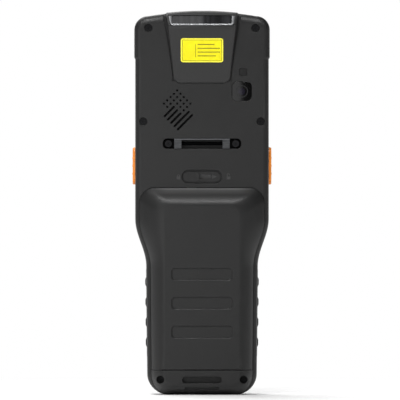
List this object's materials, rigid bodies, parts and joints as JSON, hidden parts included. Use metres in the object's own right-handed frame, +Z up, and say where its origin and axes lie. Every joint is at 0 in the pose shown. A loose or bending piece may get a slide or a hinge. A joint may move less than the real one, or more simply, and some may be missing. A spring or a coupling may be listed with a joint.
{
  "type": "portable barcode data terminal",
  "caption": "Handheld data terminal with a scanner hood, hinged latched battery pack, keypad, side scan buttons and strap anchors.",
  "frame": {"origin": "middle of the footprint, on the surface that the foot stands on", "axes": "+Z up the length to the scanner, -Y out of the back with the battery, +Y out of the screen"},
  "size_m": [0.07, 0.03, 0.192],
  "materials": {
    "housing": "fine moulded grain",
    "front_housing": "fine moulded grain",
    "battery_plastic": "fine moulded grain",
    "black_plastic": "plain",
    "soft_rubber": "soft matte",
    "orange_plastic": "satin",
    "key_plastic": "satin",
    "power_key": "satin",
    "silver_trim": "satin",
    "dark_glass": "polished",
    "flash_plastic": "clear",
    "steel": "satin",
    "dark_steel": "blackened",
    "board": "solder resist",
    "display": "plain",
    "mat": "plain",
    "optics": "plain",
    "gold": "plated",
    "cell": "wrapped"
  },
  "bodies": {
    "housing": {"front_shell": "front_housing", "rear_shell": "housing", "shell_gasket": "soft_rubber", "scanner_hood": "housing", "scan_bezel": "silver_trim", "scan_window": "dark_glass", "scan_engine": "optics", "camera_window": "dark_glass", "camera_module": "black_plastic", "flash_lens": "flash_plastic", "speaker": "black_plastic", "speaker_mesh": "steel", "strap_bracket": "steel", "strap_pin": "dark_steel", "strap_screws": "dark_steel", "case_screws": "dark_steel", "side_grip_left": "soft_rubber", "side_grip_right": "soft_rubber", "display_glass": "dark_glass", "display_module": "display", "keypad_mat": "mat", "key_board": "board", "main_board": "board", "board_screws": "dark_steel", "earpiece": "black_plastic", "status_light": "flash_plastic", "vibration_motor": "steel", "trigger_switches": "optics", "battery_contacts": "gold", "usb_port": "steel", "sim_socket": "steel"},
    "battery_pack": {"battery_cover": "battery_plastic", "battery_case": "black_plastic", "battery_cell": "cell", "battery_pads": "gold"},
    "latch": {"latch_knob": "housing", "latch_bolt": "black_plastic"},
    "scan_button_left": {"scan_button_left": "orange_plastic"},
    "scan_button_right": {"scan_button_right": "orange_plastic"},
    "port_cover": {"port_cover": "soft_rubber"},
    "key_soft_left": {"key_soft_left": "key_plastic"},
    "key_scan": {"key_scan": "orange_plastic"},
    "key_soft_right": {"key_soft_right": "key_plastic"},
    "key_power": {"key_power": "power_key"},
    "key_ok": {"key_ok": "key_plastic"},
    "key_back": {"key_back": "key_plastic"},
    "key_star": {"key_star": "key_plastic"},
    "key_0": {"key_0": "key_plastic"},
    "key_hash": {"key_hash": "key_plastic"},
    "key_1": {"key_1": "key_plastic"},
    "key_2": {"key_2": "key_plastic"},
    "key_3": {"key_3": "key_plastic"},
    "key_4": {"key_4": "key_plastic"},
    "key_5": {"key_5": "key_plastic"},
    "key_6": {"key_6": "key_plastic"},
    "key_7": {"key_7": "key_plastic"},
    "key_8": {"key_8": "key_plastic"},
    "key_9": {"key_9": "key_plastic"}
  },
  "joints": [
    {"name": "battery_pack_hinge", "type": "hinge", "parent": "housing", "child": "battery_pack", "pos_m": [0, -0.014, 0.01345], "axis": [1, 0, 0], "range_deg": [0, 75]},
    {"name": "latch_slide", "type": "slide", "parent": "housing", "child": "latch", "axis": [1, 0, 0], "range_m": [0, 0.008]},
    {"name": "scan_button_left_press", "type": "slide", "parent": "housing", "child": "scan_button_left", "axis": [1, 0, 0], "range_m": [0, 0.0008], "stiffness_N_per_m": 800, "springref_m": -0.0005},
    {"name": "scan_button_right_press", "type": "slide", "parent": "housing", "child": "scan_button_right", "axis": [-1, 0, 0], "range_m": [0, 0.0008], "stiffness_N_per_m": 800, "springref_m": -0.0005},
    {"name": "port_cover_hinge", "type": "hinge", "parent": "housing", "child": "port_cover", "pos_m": [0, 0.01095, 0.00085], "axis": [1, 0, 0], "range_deg": [0, 90]},
    {"name": "key_soft_left_press", "type": "slide", "parent": "housing", "child": "key_soft_left", "axis": [0, -1, 0], "range_m": [0, 0.0006], "stiffness_N_per_m": 300, "springref_m": -0.0005},
    {"name": "key_scan_press", "type": "slide", "parent": "housing", "child": "key_scan", "axis": [0, -1, 0], "range_m": [0, 0.0006], "stiffness_N_per_m": 300, "springref_m": -0.0005},
    {"name": "key_soft_right_press", "type": "slide", "parent": "housing", "child": "key_soft_right", "axis": [0, -1, 0], "range_m": [0, 0.0006], "stiffness_N_per_m": 300, "springref_m": -0.0005},
    {"name": "key_power_press", "type": "slide", "parent": "housing", "child": "key_power", "axis": [0, -1, 0], "range_m": [0, 0.0006], "stiffness_N_per_m": 300, "springref_m": -0.0005},
    {"name": "key_ok_press", "type": "slide", "parent": "housing", "child": "key_ok", "axis": [0, -1, 0], "range_m": [0, 0.0006], "stiffness_N_per_m": 300, "springref_m": -0.0005},
    {"name": "key_back_press", "type": "slide", "parent": "housing", "child": "key_back", "axis": [0, -1, 0], "range_m": [0, 0.0006], "stiffness_N_per_m": 300, "springref_m": -0.0005},
    {"name": "key_star_press", "type": "slide", "parent": "housing", "child": "key_star", "axis": [0, -1, 0], "range_m": [0, 0.0006], "stiffness_N_per_m": 300, "springref_m": -0.0005},
    {"name": "key_0_press", "type": "slide", "parent": "housing", "child": "key_0", "axis": [0, -1, 0], "range_m": [0, 0.0006], "stiffness_N_per_m": 300, "springref_m": -0.0005},
    {"name": "key_hash_press", "type": "slide", "parent": "housing", "child": "key_hash", "axis": [0, -1, 0], "range_m": [0, 0.0006], "stiffness_N_per_m": 300, "springref_m": -0.0005},
    {"name": "key_1_press", "type": "slide", "parent": "housing", "child": "key_1", "axis": [0, -1, 0], "range_m": [0, 0.0006], "stiffness_N_per_m": 300, "springref_m": -0.0005},
    {"name": "key_2_press", "type": "slide", "parent": "housing", "child": "key_2", "axis": [0, -1, 0], "range_m": [0, 0.0006], "stiffness_N_per_m": 300, "springref_m": -0.0005},
    {"name": "key_3_press", "type": "slide", "parent": "housing", "child": "key_3", "axis": [0, -1, 0], "range_m": [0, 0.0006], "stiffness_N_per_m": 300, "springref_m": -0.0005},
    {"name": "key_4_press", "type": "slide", "parent": "housing", "child": "key_4", "axis": [0, -1, 0], "range_m": [0, 0.0006], "stiffness_N_per_m": 300, "springref_m": -0.0005},
    {"name": "key_5_press", "type": "slide", "parent": "housing", "child": "key_5", "axis": [0, -1, 0], "range_m": [0, 0.0006], "stiffness_N_per_m": 300, "springref_m": -0.0005},
    {"name": "key_6_press", "type": "slide", "parent": "housing", "child": "key_6", "axis": [0, -1, 0], "range_m": [0, 0.0006], "stiffness_N_per_m": 300, "springref_m": -0.0005},
    {"name": "key_7_press", "type": "slide", "parent": "housing", "child": "key_7", "axis": [0, -1, 0], "range_m": [0, 0.0006], "stiffness_N_per_m": 300, "springref_m": -0.0005},
    {"name": "key_8_press", "type": "slide", "parent": "housing", "child": "key_8", "axis": [0, -1, 0], "range_m": [0, 0.0006], "stiffness_N_per_m": 300, "springref_m": -0.0005},
    {"name": "key_9_press", "type": "slide", "parent": "housing", "child": "key_9", "axis": [0, -1, 0], "range_m": [0, 0.0006], "stiffness_N_per_m": 300, "springref_m": -0.0005}
  ]
}
